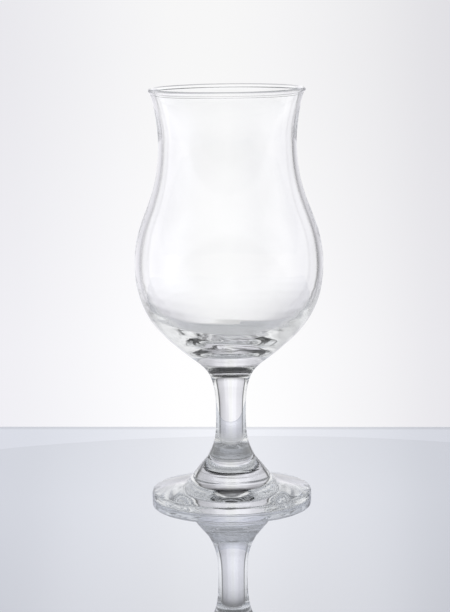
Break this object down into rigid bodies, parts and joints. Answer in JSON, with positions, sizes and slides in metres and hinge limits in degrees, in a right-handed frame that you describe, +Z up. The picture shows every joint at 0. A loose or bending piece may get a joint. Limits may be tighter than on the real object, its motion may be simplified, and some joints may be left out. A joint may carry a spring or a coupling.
{
  "type": "stemmed cocktail goblet",
  "caption": "Clear glass goblet: a full belly drawn in to a neck under a flared lip, on a short waisted stem and a round foot with a raised cone, for cold mixed drinks.",
  "frame": {"origin": "on the axis of the glass, at the level of the table it stands on", "axes": "+Z up along the axis of the glass, towards the mouth; +Y away from the viewer of the reference view; +X to that viewer's right"},
  "size_m": [0.082, 0.082, 0.18],
  "materials": {
    "clear_glass": "fire-polished, clear, colourless soda-lime glass"
  },
  "bodies": {
    "root": {"bowl": "clear_glass", "stem": "clear_glass", "foot": "clear_glass"}
  },
  "joints": []
}
